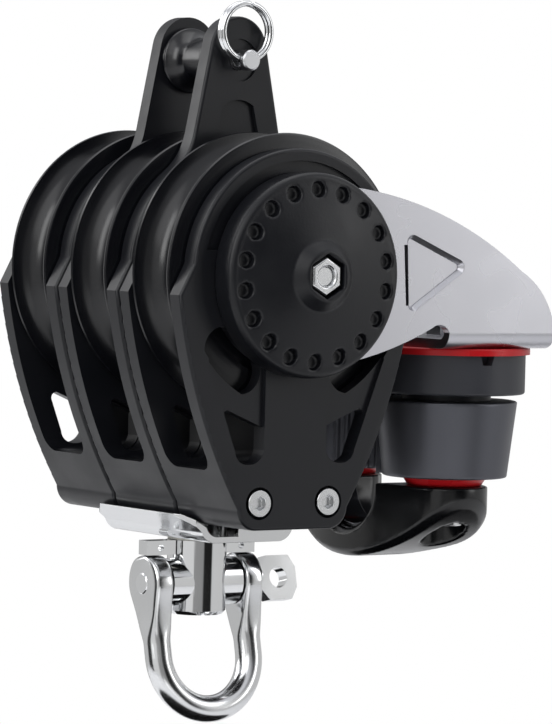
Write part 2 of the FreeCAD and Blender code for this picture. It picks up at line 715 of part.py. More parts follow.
# A cam: a tapered round back about its pivot and a spiral jaw cut with upright teeth
def make_cam(name, side):
    body = new_body(f"{name}_cam", x=S["pivot_reach"], y=PIVOTS[name])
    back = S["cam_radius"]
    lobe = S["cam_lobe"]
    teeth = 9
    first, last = 128.0, 62.0
    jaw = []
    for index in range(2 * teeth + 1):
        angle = math.radians(first + (last - first) * index / (2 * teeth))
        spread = index / (2 * teeth)
        radius = back * (1 - spread) + lobe * spread - (0.0 if index % 2 == 0 else 0.9)
        jaw.append((radius * math.cos(angle), side * radius * math.sin(angle)))
    tail = math.radians(last - 14)
    hip = math.radians(last - 62)
    corner = (back * math.cos(hip), side * back * math.sin(hip))
    heel = back * 1.08
    loop = jaw + [(heel * math.cos(tail), side * heel * math.sin(tail)),
                  corner + (0, -side * back)]
    sketch = new_sketch(body, "XY_Plane", [loop], lift=-cam_level)
    pad(body, sketch, S["cam_height"], middle=False, reverse=True)
    # The round back tapers towards the open end of the jaws
    outer = back * 2.2
    wedge = [(back + 0.01, -cam_level), (outer, -cam_level), (outer, -cam_foot - 1),
             (back - S["cam_taper"], -cam_foot - 1)]
    turn(body, new_sketch(body, "XZ_Plane", [wedge]), kind="Groove", angle=230, reverse=side > 0)
    bore = S["bush_radius"] + S["fit_gap"]
    pocket(body, new_sketch(body, "XY_Plane", circles=[(0, 0, bore)]))
    pocket(body, new_sketch(body, "XY_Plane", circles=[(0, 0, S["neck_radius"] - 0.9)],
                            lift=-cam_level), 6.0, middle=False)


def make_cleat_small_parts():
    clear = S["screw_radius"] + 0.1
    bushes = new_body("cam_bushes")
    rings = pivot_holes(S["bush_radius"]) + pivot_holes(clear)
    pad(bushes, new_sketch(bushes, "XY_Plane", circles=rings, lift=-cap_level),
        cap_level - cam_level, middle=False)
    for name, y in PIVOTS.items():
        cap = new_body(f"{name}_cam_cap", x=S["pivot_reach"], y=y)
        radius = S["cam_cap_radius"]
        profile = [(clear, -cap_level), (radius, -cap_level), (radius - 1.1, -lead_level),
                   (clear, -lead_level)]
        turn(cap, new_sketch(cap, "XZ_Plane", [profile]))
    head_floor_level = lead_level + 4.6
    screws = new_body("cleat_screws")
    pad(screws, new_sketch(screws, "XY_Plane", circles=pivot_holes(S["screw_radius"]),
                           lift=-head_floor_level), head_floor_level - S["web_drop"] + 6.6,
        middle=False)
    pad(screws, new_sketch(screws, "XY_Plane", circles=pivot_holes(4.2), lift=-head_floor_level),
        3.8, middle=False, reverse=True)
    sockets = [[(S["pivot_reach"] + 1.9 * math.cos(a), y + 1.9 * math.sin(a))
                for a in (math.radians(60 * k) for k in range(6))] for y in PIVOTS.values()]
    pocket(screws, new_sketch(screws, "XY_Plane", sockets, lift=-head_floor_level - 3.8), 2.2,
           middle=False, reverse=True)
    nuts = new_body("cleat_nuts")
    loops = [[(S["pivot_reach"] + S["screw_nut_flat"] * 1.1547 * math.cos(a),
               y + S["screw_nut_flat"] * 1.1547 * math.sin(a))
              for a in (math.radians(60 * k + 30) for k in range(6))] for y in PIVOTS.values()]
    pad(nuts, new_sketch(nuts, "XY_Plane", loops, pivot_holes(S["screw_radius"] + 0.02),
                         lift=-S["web_drop"] + S["arm_sheet"]), S["screw_nut_height"], middle=False)


# Torsion spring round each bush, in the hollow of its cam
def make_spring(name):
    wire = S["spring_wire"].number
    coil = S["spring_radius"].number
    pitch_of_coil = 2 * wire + 0.25
    turns = 2.25
    helix = Part.makeHelix(pitch_of_coil, pitch_of_coil * turns, coil)
    start = FreeCAD.Vector(coil, 0, 0)
    slope = FreeCAD.Vector(0, 2 * math.pi * coil, pitch_of_coil)
    section = Part.Wire(Part.makeCircle(wire, start, slope))
    spring = Part.Wire(helix.Edges).makePipeShell([section], True, True)
    level = -cam_level - wire - 0.4 - size(pitch_of_coil * turns)
    return shaped(f"{name}_cam_spring", spring, x=S["pivot_reach"], y=PIVOTS[name], z=level)


# Fairlead: a thick bowed bridge under both cams with a flared eye, and its steel liner
def make_fairlead():
    body = new_body("fairlead")
    half = S["fairlead_half"]
    top = lead_level
    bottom = lead_level + S["fairlead_depth"]
    x = S["pivot_reach"]
    bow = [(half, -top), (-half, -top, 0, -bottom)]
    deep = S["fairlead_boss"] + 3
    blank = new_sketch(body, "YZ_Plane", [bow], lift=x + deep)
    pad(body, blank, 2 * deep + 9, middle=False, reverse=True)
    boss = S["fairlead_boss"]
    y = S["pivot_half"]
    lip = x - S["lip_inset"]
    throat = x + S["throat_outset"]
    plan = [
        (x + boss * 0.5, -y - boss * 0.866, x + boss, -y - 0.3),
        (x + boss * 0.6, -y + boss * 0.8, throat, 0),
        (x + boss * 0.6, y - boss * 0.8, x + boss, y + 0.3),
        (x + boss * 0.5, y + boss * 0.866, x - boss * 0.3, y + boss * 0.954),
        (x - boss * 0.92, y + boss * 0.39, lip, 0),
        (x - boss * 0.92, -y - boss * 0.39, x - boss * 0.3, -y - boss * 0.954),
    ]
    far = 60
    frame = [(x + far, far), (x - far, far), (x - far, -far), (x + far, -far)]
    trim = new_sketch(body, "XY_Plane", [frame, plan])
    pocket(body, trim)
    eye = S["eye_radius"]
    level = top + S["eye_drop"]
    opening = [(eye, -top + 5), (eye, -level, 0, -level - eye), (-eye, -level), (-eye, -top + 5)]
    pocket(body, new_sketch(body, "YZ_Plane", [opening]))
    ease(body, 1.2, lambda edge: edge.BoundBox.ZMin < -size(top).number - 10.0
         and edge.BoundBox.YLength > 22 and edge.BoundBox.XLength > 1.0, kind="Chamfer")
    ease(body, 1.2, lambda edge: near(edge.BoundBox.ZMin, -level - eye, 0.6)
         and edge.BoundBox.YLength > 15, kind="Chamfer")
    clear = S["screw_radius"] + 0.1
    pocket(body, new_sketch(body, "XY_Plane", circles=pivot_holes(clear)))
    pocket(body, new_sketch(body, "XY_Plane", circles=pivot_holes(4.6), lift=-lead_level - 4.6), 12,
           middle=False)


def make_liner():
    body = new_body("fairlead_liner")
    outer = S["eye_radius"] - S["fit_gap"]
    inner = outer - S["liner_sheet"]
    top = lead_level + S["eye_drop"]
    strip = [
        (outer, -top + 0.1, 0, -top - outer), (-outer, -top + 0.1),
        (-inner, -top + 0.1, 0, -top - inner), (inner, -top + 0.1),
    ]
    middle = S["pivot_reach"] + (S["throat_outset"] - S["lip_inset"]) / 2
    pad(body, new_sketch(body, "YZ_Plane", [strip], lift=middle), 7.0)


# Bottom screws through all three floors, with their nuts at the far face
def make_foot_screws():
    centres = [(side * S["foot_screw_half"], -S["foot_screw_drop"]) for side in (1, -1)]
    seat = block_half - 2.4
    body = new_body("foot_screws")
    shank = new_sketch(body, "XZ_Plane", circles=[c + (S["foot_screw_radius"],) for c in centres],
                       lift=seat)
    pad(body, shank, 2 * seat + 2.2, middle=False, reverse=True)
    head = new_sketch(body, "XZ_Plane", circles=[c + (S["foot_head_radius"],) for c in centres],
                      lift=seat)
    pad(body, head, 2.6, middle=False)
    sockets = [[(x + 1.5 * math.cos(a), z + 1.5 * math.sin(a))
                for a in (math.radians(60 * k + 30) for k in range(6))] for x, z in centres]
    pocket(body, new_sketch(body, "XZ_Plane", sockets, lift=seat + 2.6), 1.3, middle=False)
    nuts = new_body("foot_nuts")
    loops = [[(x + 3.0 * math.cos(a), z + 3.0 * math.sin(a))
              for a in (math.radians(60 * k + 30) for k in range(6))] for x, z in centres]
    rings = [c + (S["foot_screw_radius"] + 0.02,) for c in centres]
    pad(nuts, new_sketch(nuts, "XZ_Plane", loops, rings, lift=-seat), 2.2, middle=False,
        reverse=True)


# Hanger strap: a pressed pan with two flared long walls and two short end walls
def make_strap():
    body = new_body("hanger_strap")
    rim = S["strap_rim"]
    foot = S["strap_half"]
    deep = S["strap_drop"]
    high = S["strap_rim_drop"]
    sheet_width = S["strap_sheet"]
    floor = deep - sheet_width
    section = [
        (-rim, -high), (-rim + 1.2, -high), (-foot - 1.0, -floor + 2.0, -foot + 0.0, -floor + 0.6),
        (-foot + 1.4, -floor), (foot - 1.4, -floor, foot, -floor + 0.6), (foot + 1.0, -floor + 2.0),
        (rim - 1.2, -high), (rim, -high), (foot + 2.2, -deep + 2.4, foot + 1.1, -deep + 0.8),
        (foot - 0.8, -deep), (-foot + 0.8, -deep, -foot - 1.1, -deep + 0.8),
        (-foot - 2.2, -deep + 2.4),
    ]
    pad(body, new_sketch(body, "XZ_Plane", [section]), 2 * S["strap_length"])
    for side in (1, -1):
        # Each end wall fills half of the pan and runs out into the flare of one long wall
        wall = [
            (-side * 2.2, -S["block_drop"] - 0.2),
            (-side * 2.2, -deep + 1.2, -side * 1.8, -deep + 0.4), (-side * 0.9, -deep),
            (side * (foot - 0.8), -deep, side * (foot + 1.1), -deep + 0.8),
            (side * (foot + 2.2), -deep + 2.4), (side * (foot + 3.4), -S["block_drop"] - 0.2),
        ]
        plate = new_sketch(body, "XZ_Plane", [wall], lift=side * S["strap_length"])
        pad(body, plate, sheet_width, middle=False, reverse=side > 0)
    holes = [(0, 0, S["stem_radius"] + 0.3)]
    holes += [(0, side * rivet_reach, 1.0 + S["fit_gap"]) for side in (1, -1)]
    pocket(body, new_sketch(body, "XY_Plane", circles=holes))
    corners = [[(side * (rim + 1), end * (S["strap_length"] + 1)),
                (side * (rim + 1), end * (S["strap_length"] - 6.5)),
                (side * (rim - 3.6), end * (S["strap_length"] + 1))]
               for side in (1, -1) for end in (1, -1)]
    pocket(body, new_sketch(body, "XY_Plane", corners))
    return body


def make_rivets():
    body = new_body("strap_rivets")
    circles = [(0, side * rivet_reach, 1.0) for side in (1, -1)]
    pad(body, new_sketch(body, "XY_Plane", circles=circles, lift=-S["strap_drop"]),
        S["strap_drop"] - S["block_drop"] + rivet_depth, middle=False)
    heads = [(0, side * rivet_reach, 1.9) for side in (1, -1)]
    pad(body, new_sketch(body, "XY_Plane", circles=heads, lift=-S["strap_drop"]), 0.7, middle=False,
        reverse=True)
    washer = new_body("swivel_washer")
    rings = [(0, 0, S["barrel_radius"]), (0, 0, S["stem_radius"] + 0.3)]
    pad(washer, new_sketch(washer, "XY_Plane", circles=rings, lift=-bar_level + S["fit_gap"]),
        S["washer_height"] - S["fit_gap"], middle=False)


bar_level = S["strap_drop"] + S["washer_height"]


# Swivel post: head and stem in the anchor block, a cross bar, and a barrel bored for the
# shackle pin
def make_swivel():
    body = new_body("swivel_post")
    level = head_floor - S["fit_gap"]
    barrel = S["barrel_radius"]
    profile = [
        (0, -level + head_height), (S["stem_head"], -level + head_height),
        (S["stem_head"], -level), (S["stem_radius"], -level), (S["stem_radius"], -bar_level),
        (barrel, -bar_level), (barrel, -S["barrel_drop"] + 0.8),
        (barrel - 0.8, -S["barrel_drop"]), (0, -S["barrel_drop"]),
    ]
    turn(body, new_sketch(body, "XZ_Plane", [profile]))
    reach = S["bar_half"]
    bar = [(reach, 1.6), (reach, -1.6), (-reach, -1.6), (-reach, 1.6)]
    pad(body, new_sketch(body, "XY_Plane", [bar], lift=-bar_level), S["bar_height"], middle=False,
        reverse=True)
    eyelets = [(side * (reach - 3.4), -bar_level - S["bar_height"] / 2, 0.7)
               for side in (1, -1)]
    pocket(body, new_sketch(body, "XZ_Plane", circles=eyelets))
    boss = new_sketch(body, "YZ_Plane", circles=[(0, -S["shackle_drop"], 5.0)])
    pad(body, boss, 2 * (ear_in - 0.3))
    pin = new_sketch(body, "YZ_Plane",
                     circles=[(0, -S["shackle_drop"], S["shackle_pin"] + S["running_gap"])])
    pocket(body, pin)
    return body


ear_in = S["shackle_half"] - S["ear_sheet"] / 2
ear_out = S["shackle_half"] + S["ear_sheet"] / 2


# Shackle bow: a forged round bar with tapered eyes, leaning as the photograph shows it
def lean(piece):
    """Hangs a piece from the shackle pin at its leaning angle."""
    bind(piece, "Placement.Base.z", -S["shackle_drop"])
    piece.Placement.Rotation = FreeCAD.Rotation(FreeCAD.Vector(1, 0, 0), 0)
    bind(piece, "Placement.Rotation.Angle", -S["shackle_tilt"])
    piece.setExpression("Placement.Rotation.Axis.x", "1")


def make_shackle():
    body = new_body("shackle_bow")
    half = S["shackle_half"]
    bottom = S["shackle_length"]
    rod = S["shackle_rod"]
    legs = bottom - half
    feet = [(side * half, 0, rod) for side in (1, -1)]
    pad(body, new_sketch(body, "XY_Plane", circles=feet), legs, middle=False, reverse=True)
    turn(body, new_sketch(body, "XY_Plane", circles=[(half, 0, rod)], lift=-legs), angle=180)
    ear = S["ear_radius"]
    eye = [(ear * 0.94, -ear * 0.34, 0, ear), (-ear * 0.94, -ear * 0.34), (-1.5, -13.0), (1.5, -13.0)]
    for side in (1, -1):
        sketch = new_sketch(body, "YZ_Plane", [eye], lift=side * half)
        pad(body, sketch, S["ear_sheet"])
    ease(body, 0.8, lambda edge: near(abs(edge.BoundBox.XMin), ear_out, 0.05)
         and near(abs(edge.BoundBox.XMax), ear_out, 0.05) and edge.BoundBox.ZMax > 1,
         kind="Chamfer")
    # The ears are faced flat round the pin, inside and outside
    facing = ear + 0.5
    pocket(body, new_sketch(body, "YZ_Plane", circles=[(0, 0, facing)]), 2 * ear_in)
    for side in (1, -1):
        face = new_sketch(body, "YZ_Plane", circles=[(0, 0, facing)], lift=side * ear_out)
        pocket(body, face, 2.0, middle=False, reverse=side > 0)
    bore = S["shackle_pin"] + S["fit_gap"]
    pocket(body, new_sketch(body, "YZ_Plane", circles=[(0, 0, bore)]))
    lean(body)

    pin = new_body("shackle_pin")
    radius = S["shackle_pin"]
    turned = [
        (0, -ear_out - 0.2), (radius - 0.5, -ear_out - 0.2), (radius, -ear_out + 0.3),
        (radius, ear_out + 0.1), (radius + 1.0, ear_out + 0.1), (radius + 1.0, ear_out + 1.1),
        (radius - 0.6, ear_out + 1.9), (0, ear_out + 1.9),
    ]
    turned = [(y, x) for x, y in turned]
    turn(pin, new_sketch(pin, "XY_Plane", [turned]), axis="H_Axis")
    tall = S["tab_half"]
    tab_end = S["tab_length"]
    tab = [(ear_out + 1.0, -1.6), (ear_out + 3.6, -tall), (tab_end - 1.6, -tall),
           (tab_end, -tall * 0.45), (tab_end, tall * 0.45), (tab_end - 1.6, tall),
           (ear_out + 3.6, tall), (ear_out + 1.0, 1.6)]
    pad(pin, new_sketch(pin, "XZ_Plane", [tab]), S["tab_sheet"])
    pocket(pin, new_sketch(pin, "XZ_Plane", circles=[(S["tab_reach"], 0, S["tab_hole"])]))
    lean(pin)


# Becket fittings: a waisted spool on a clevis pin, kept by a split ring
def make_becket_fittings():
    rise = S["becket_pin_rise"]
    spool = new_body("becket_spool", z=rise)
    half = cheek_in - 0.25
    flange = S["spool_flange"]
    core = S["spool_core"]
    bore = S["clevis_radius"] + S["running_gap"]
    profile = [(bore, -half), (flange, -half), (flange, -half + 1.0, core + 0.5, -half + 3.0),
               (core, -half + 4.6), (core, half - 4.6, core + 0.5, half - 3.0),
               (flange, half - 1.0), (flange, half), (bore, half)]
    turn(spool, new_sketch(spool, "XY_Plane", [profile]))
    pin = new_body("clevis_pin", z=rise)
    radius = S["clevis_radius"]
    end = ring_level + 2.6
    turned = [(0, -end), (radius - 0.3, -end), (radius, -end + 0.3), (radius, cheek_out - 0.45),
              (radius + 1.6, cheek_out - 0.45), (radius + 1.6, cheek_out + 0.7),
              (radius + 1.0, cheek_out + 1.2), (0, cheek_out + 1.2)]
    turn(pin, new_sketch(pin, "XY_Plane", [turned]))
    hole = new_sketch(pin, "YZ_Plane", circles=[(-ring_level, 0, 1.45)])
    pocket(pin, hole)


ring_level = cheek_out + 2.0


# Split ring: two turns of wire side by side, each ending in a small gap
def make_split_ring():
    ring = new_body("split_ring", y=-ring_level, z=S["becket_pin_rise"] + S["ring_radius"])
    wire = S["ring_wire"]
    radius = S["ring_radius"]
    shift = wire - 0.01
    neck = root(wire * wire - shift * shift)
    twin = [(radius + neck, 0, radius, shift + wire), (radius - neck, 0, radius, -shift - wire)]
    turn(ring, new_sketch(ring, "XY_Plane", [twin]))
    for middle, reverse in ((97, False), (83, True)):
        low, high = math.radians(middle - 4), math.radians(middle + 4)
        gap = [((radius + reach) * math.cos(angle), (radius + reach) * math.sin(angle))
               for reach, angle in ((-2 * wire, low), (2 * wire, low), (2 * wire, high),
                                    (-2 * wire, high))]
        pocket(ring, new_sketch(ring, "XZ_Plane", [gap]), 2 * wire + 0.3, middle=False,
               reverse=reverse)


for bay, offset in BAYS.items():
    make_shell(bay, offset)
    make_sheave(bay, offset)
    make_hub(bay, offset)
    make_balls(bay, offset)
make_axle()
make_axle_bolt()
make_cap("near", -1)
make_cap("far", 1)
make_arm()
make_cleat_base()
make_cam("near", 1)
make_cam("far", -1)
make_cleat_small_parts()
make_spring("near")
make_spring("far")
make_fairlead()
make_liner()
make_foot_screws()
make_anchor()
make_strap()
make_rivets()
make_swivel()
make_shackle()
make_becket_fittings()
make_split_ring()
doc.recompute()

# Every object must be sound before anything is written
for thing in doc.Objects:
    if "Invalid" in thing.State or "Error" in thing.State:
        raise RuntimeError(f"{thing.Label} is {thing.State}")
os.makedirs("parts", exist_ok=True)
for node in NODES:
    if node.Shape.isNull() or not node.Shape.isValid():
        raise RuntimeError(f"{node.Label} has no valid shape")
    node.Shape.exportStep(f"parts/{node.Label}.step")
    print(node.Label, len(node.Shape.Solids), round(node.Shape.Volume, 1))
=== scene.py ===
import bmesh
import bpy
import json
import math
from mathutils import Matrix, Vector


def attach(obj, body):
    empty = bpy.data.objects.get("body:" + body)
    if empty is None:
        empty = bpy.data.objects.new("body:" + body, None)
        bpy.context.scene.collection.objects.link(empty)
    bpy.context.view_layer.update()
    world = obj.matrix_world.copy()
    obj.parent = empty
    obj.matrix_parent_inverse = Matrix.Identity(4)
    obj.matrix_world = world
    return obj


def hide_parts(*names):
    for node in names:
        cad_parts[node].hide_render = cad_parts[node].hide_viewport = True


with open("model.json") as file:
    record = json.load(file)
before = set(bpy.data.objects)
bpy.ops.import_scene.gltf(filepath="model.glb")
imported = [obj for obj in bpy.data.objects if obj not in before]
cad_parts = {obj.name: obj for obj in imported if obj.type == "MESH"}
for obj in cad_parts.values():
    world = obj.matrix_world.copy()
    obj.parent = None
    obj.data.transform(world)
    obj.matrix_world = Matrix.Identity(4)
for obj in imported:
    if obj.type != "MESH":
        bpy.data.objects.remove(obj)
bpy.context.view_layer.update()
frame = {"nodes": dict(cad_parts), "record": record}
scene = bpy.context.scene

# Camera: stands to the left of the near cheek and barely above the axle, as far off as the
# photograph's flat perspective says. The long lens keeps the three bays nearly parallel. Lengths
# are in metres, unless a name or a comment says millimetres.
azimuth = math.radians(-34.61)
elevation = math.radians(2.61)
roll = math.radians(1.42)
distance = 0.9212
aim_right, aim_up = 0.01501, -0.01934
focal_px, photo_height_px = 4436.0, 724
film_height_mm = 36.0
toward_camera = Vector((math.sin(azimuth) * math.cos(elevation),
                        -math.cos(azimuth) * math.cos(elevation), math.sin(elevation)))
level_right = Vector((math.cos(azimuth), math.sin(azimuth), 0))
level_up = toward_camera.cross(level_right)
right = math.cos(roll) * level_right + math.sin(roll) * level_up
up = -math.sin(roll) * level_right + math.cos(roll) * level_up
lens_data = bpy.data.cameras.new("product_camera")
lens_data.sensor_fit = "VERTICAL"
lens_data.sensor_height = film_height_mm
lens_data.lens = focal_px / photo_height_px * film_height_mm
lens_data.clip_end = 20
camera = bpy.data.objects.new("product_camera", lens_data)
scene.collection.objects.link(camera)
camera_place = Matrix((right, up, toward_camera)).transposed().to_4x4()
camera_place.translation = toward_camera * distance + right * aim_right + up * aim_up
camera.matrix_world = camera_place
scene.camera = camera
scene.view_settings.view_transform = "Standard"


# Studio cards: a sweep of white paper below the hanging block, and on it a round black flag that
# draws the dark line along the underside of every bend and bar. Both are plain white to the
# camera. The paper ends early, so that upright steel sees the tent above it.
PAPER_DROP = 0.42
PAPER_HALF = 1.2
FLAG_RADIUS = 0.36
FLAG_LIFT = 0.004


def linear(hex_colour):
    """An sRGB hex colour as linear RGBA."""
    channels = [int(hex_colour[i:i + 2], 16) / 255 for i in (1, 3, 5)]
    return [c / 12.92 if c <= 0.04045 else ((c + 0.055) / 1.055) ** 2.4 for c in channels] + [1.0]


def add_node(tree, kind, settings=None, inputs=None):
    """A shader node with its settings, and its sockets set to values or linked to sockets."""
    node = tree.nodes.new(kind)
    for name, value in (settings or {}).items():
        setattr(node, name, value)
    for name, value in (inputs or {}).items():
        if isinstance(value, bpy.types.NodeSocket):
            tree.links.new(value, node.inputs[name])
        else:
            node.inputs[name].default_value = value
    return node


def studio_card(name, colour):
    """A matt card of this colour to the object, which glows plain white to the camera."""
    card = bpy.data.materials.new(name)
    card.use_nodes = True
    tree = card.node_tree
    tree.nodes.clear()
    rays = add_node(tree, "ShaderNodeLightPath")
    matt = add_node(tree, "ShaderNodeBsdfDiffuse", inputs={"Color": linear(colour)})
    glow = add_node(tree, "ShaderNodeEmission", inputs={"Color": (1, 1, 1, 1), "Strength": 1.0})
    mix = add_node(tree, "ShaderNodeMixShader", inputs={
        0: rays.outputs["Is Camera Ray"], 1: matt.outputs[0], 2: glow.outputs[0]})
    add_node(tree, "ShaderNodeOutputMaterial", inputs={"Surface": mix.outputs[0]})
    return card


def new_object(name, shape, finish):
    """An object at the origin with the mesh of this bmesh, in this finish."""
    mesh = bpy.data.meshes.new(name)
    shape.to_mesh(mesh)
    shape.free()
    mesh.materials.append(finish)
    made = bpy.data.objects.new(name, mesh)
    scene.collection.objects.link(made)
    return made


sheet = bmesh.new()
bmesh.ops.create_grid(sheet, x_segments=1, y_segments=1, size=PAPER_HALF)
bmesh.ops.translate(sheet, verts=sheet.verts, vec=(0, 0, -PAPER_DROP))
new_object("paper_sweep", sheet, studio_card("white_card", "#f2f2f2"))
disc = bmesh.new()
bmesh.ops.create_circle(disc, cap_ends=True, segments=64, radius=FLAG_RADIUS)
bmesh.ops.translate(disc, verts=disc.verts, vec=(0, 0, FLAG_LIFT - PAPER_DROP))
new_object("black_flag", disc, studio_card("black_card", "#101010"))

# Light tent: white to the camera, and to the object a tent of pale cloth with dark gaps round
# the sides, which give polished steel its black streaks. Each stop is a share of the turn from
# -X through -Y, and how bright the tent is there. Above them the cloth is closed and pale.
TENT_STRENGTH = 0.8
ROOF_STARTS, ROOF_CLOSED = 0.35, 0.6
ROOF_COLOUR = (0.95, 0.96, 1.0, 1)
CLOTH_STOPS = ((0.0, 1.0), (0.12, 1.0), (0.14, 0.42), (0.225, 0.38), (0.24, 0.02), (0.32, 0.02),
               (0.335, 0.85), (0.62, 0.8), (0.65, 0.12), (0.70, 0.12), (0.73, 0.75), (0.895, 0.8),
               (0.915, 0.02), (0.985, 0.02))
tent = bpy.data.worlds.new("light_tent")
scene.world = tent
tent.use_nodes = True
sky = tent.node_tree
sky.nodes.clear()
where = add_node(sky, "ShaderNodeTexCoord")
split = add_node(sky, "ShaderNodeSeparateXYZ", inputs={0: where.outputs["Generated"]})
bearing = add_node(sky, "ShaderNodeMath", {"operation": "ARCTAN2"},
                   {0: split.outputs["Y"], 1: split.outputs["X"]})
turn_share = add_node(sky, "ShaderNodeMath", {"operation": "MULTIPLY_ADD"},
                      {0: bearing.outputs[0], 1: 1 / (2 * math.pi), 2: 0.5})
cloth = add_node(sky, "ShaderNodeValToRGB", inputs={0: turn_share.outputs[0]})
ramp = cloth.color_ramp
ramp.elements.remove(ramp.elements[1])
for share, brightness in CLOTH_STOPS:
    stop = ramp.elements.new(share) if share > 0 else ramp.elements[0]
    stop.color = (brightness, brightness, brightness, 1)
overhead = add_node(sky, "ShaderNodeMapRange", inputs={
    "Value": split.outputs["Z"], "From Min": ROOF_STARTS, "From Max": ROOF_CLOSED,
    "To Min": 0.0, "To Max": 1.0})
roofed = add_node(sky, "ShaderNodeMix", {"data_type": "RGBA"}, {
    0: overhead.outputs[0], 6: cloth.outputs[0], 7: ROOF_COLOUR})
tent_light = add_node(sky, "ShaderNodeBackground", inputs={
    "Color": roofed.outputs[2], "Strength": TENT_STRENGTH})
tent_white = add_node(sky, "ShaderNodeBackground", inputs={
    "Color": (1, 1, 1, 1), "Strength": 1.0})
tent_rays = add_node(sky, "ShaderNodeLightPath")
tent_mix = add_node(sky, "ShaderNodeMixShader", inputs={
    0: tent_rays.outputs["Is Camera Ray"], 1: tent_light.outputs[0], 2: tent_white.outputs[0]})
add_node(sky, "ShaderNodeOutputWorld", inputs={"Surface": tent_mix.outputs[0]})

# Soft boxes: name, place, size and power. A tall key at the upper left, a strip on the right
# for the steel arm, two at the left that draw the light lines on the black edges and in the
# sheaves, one above, and a low fill for the underside.
BLOCK_MIDDLE = Vector((0.01, 0, -0.01))
SOFT_BOXES = (
    ("key_box", (-0.75, -0.75, 0.75), (0.7, 0.9), 2.2),
    ("right_strip", (0.75, -0.75, 0.35), (0.25, 0.9), 1.5),
    ("left_rear_box", (-0.62, 0.8, 0.47), (0.5, 0.8), 4.0),
    ("left_box", (-1.0, -0.2, 0.5), (0.35, 0.8), 4.0),
    ("top_box", (0.1, 0.1, 1.0), (0.9, 0.7), 2.2),
    ("low_fill", (-0.2, -1.0, -0.35), (0.8, 0.25), 0.5),
)
for name, place, box_size, power in SOFT_BOXES:
    lamp = bpy.data.lights.new(name, "AREA")
    lamp.shape = "RECTANGLE"
    lamp.size, lamp.size_y = box_size
    lamp.energy = power
    box = bpy.data.objects.new(name, lamp)
    scene.collection.objects.link(box)
    facing = (BLOCK_MIDDLE - Vector(place)).to_track_quat("-Z", "Y")
    box.matrix_world = Matrix.LocRotScale(Vector(place), facing, None)


# Bay shells: three black housings, each two cheeks on one floor, moulded in glass-filled nylon
# and stacked on the axle tube. The mould leaves a satin skin with a fine grain, and the glass
# fibres a faint cloudiness.
BODY_OF = {node: body for body, nodes in frame["record"]["behaviour"]["bodies"].items()
           for node in nodes}
MERGE_GAP = 1e-6
FLAT_DEG = 0.6
PLASTIC_IOR = 1.53
NOISE_LOW, NOISE_HIGH = 0.25, 0.75  # a noise texture seldom leaves this range


def moulded(name, colour, roughness, grain_mm=0.5, grain_depth_mm=0.02, cloud_mm=9.0, mottle=0.1,
            gloss_swing=0.06, shine=0.3):
    """A moulded plastic: fine skin grain, a slow cloudiness and slightly uneven gloss.

    The real grain is a tenth as wide and wouldn't show, so it is drawn coarser.
    """
    made = bpy.data.materials.new(name)
    made.use_nodes = True
    tree = made.node_tree
    tree.nodes.clear()
    place = add_node(tree, "ShaderNodeTexCoord")
    grain = add_node(tree, "ShaderNodeTexNoise", inputs={
        "Vector": place.outputs["Object"], "Scale": 1000 / grain_mm, "Detail": 3.0})
    cloud = add_node(tree, "ShaderNodeTexNoise", inputs={
        "Vector": place.outputs["Object"], "Scale": 1000 / cloud_mm, "Detail": 2.0})
    tones = [[c * (1 + shift) for c in linear(colour)[:3]] + [1] for shift in (-mottle, mottle)]
    tone = add_node(tree, "ShaderNodeMix", {"data_type": "RGBA"}, {
        0: cloud.outputs["Fac"], 6: tones[0], 7: tones[1]})
    gloss = add_node(tree, "ShaderNodeMapRange", {"interpolation_type": "SMOOTHSTEP"}, {
        "Value": cloud.outputs["Fac"], "From Min": NOISE_LOW, "From Max": NOISE_HIGH,
        "To Min": roughness - gloss_swing, "To Max": roughness + gloss_swing})
    relief = add_node(tree, "ShaderNodeBump", inputs={
        "Height": grain.outputs["Fac"], "Distance": grain_depth_mm / 1000, "Strength": 0.5})
    surface = add_node(tree, "ShaderNodeBsdfPrincipled", inputs={
        "Base Color": tone.outputs[2], "Roughness": gloss.outputs[0], "IOR": PLASTIC_IOR,
        "Specular IOR Level": shine, "Normal": relief.outputs[0]})
    add_node(tree, "ShaderNodeOutputMaterial", inputs={"Surface": surface.outputs[0]})
    return made


def merged_copy(node):
    """A bmesh of a CAD piece with its loose triangles joined."""
    shape = bmesh.new()
    shape.from_mesh(frame["nodes"][node].data)
    bmesh.ops.remove_doubles(shape, verts=shape.verts, dist=MERGE_GAP)
    return shape


def stand_for(piece, node):
    """Shows a piece instead of its CAD node, on the same body."""
    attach(piece, BODY_OF[node])
    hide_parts(node)


def dress(node, finish, edge_mm=0.25, smooth_deg=32):
    """A copy of a CAD piece with whole flats and eased edges, in this finish."""
    shape = merged_copy(node)
    bmesh.ops.dissolve_limit(shape, angle_limit=math.radians(FLAT_DEG), verts=shape.verts,
                             edges=shape.edges, use_dissolve_boundaries=False)
    piece = new_object(f"{node}_skin", shape, finish)
    piece.data.shade_smooth()
    piece.data.set_sharp_from_angle(angle=math.radians(smooth_deg))
    ease = piece.modifiers.new("eased_edges", "BEVEL")
    ease.width = edge_mm / 1000
    ease.segments = 2
    ease.limit_method = "ANGLE"
    ease.angle_limit = math.radians(smooth_deg)
    flats = piece.modifiers.new("even_flats", "WEIGHTED_NORMAL")
    flats.keep_sharp = True
    stand_for(piece, node)


shell_nylon = moulded("moulded_glass_filled_nylon", "#131418", roughness=0.36)
for bay in ("near", "middle", "far"):
    dress(f"{bay}_bay_shell", shell_nylon, edge_mm=0.3)

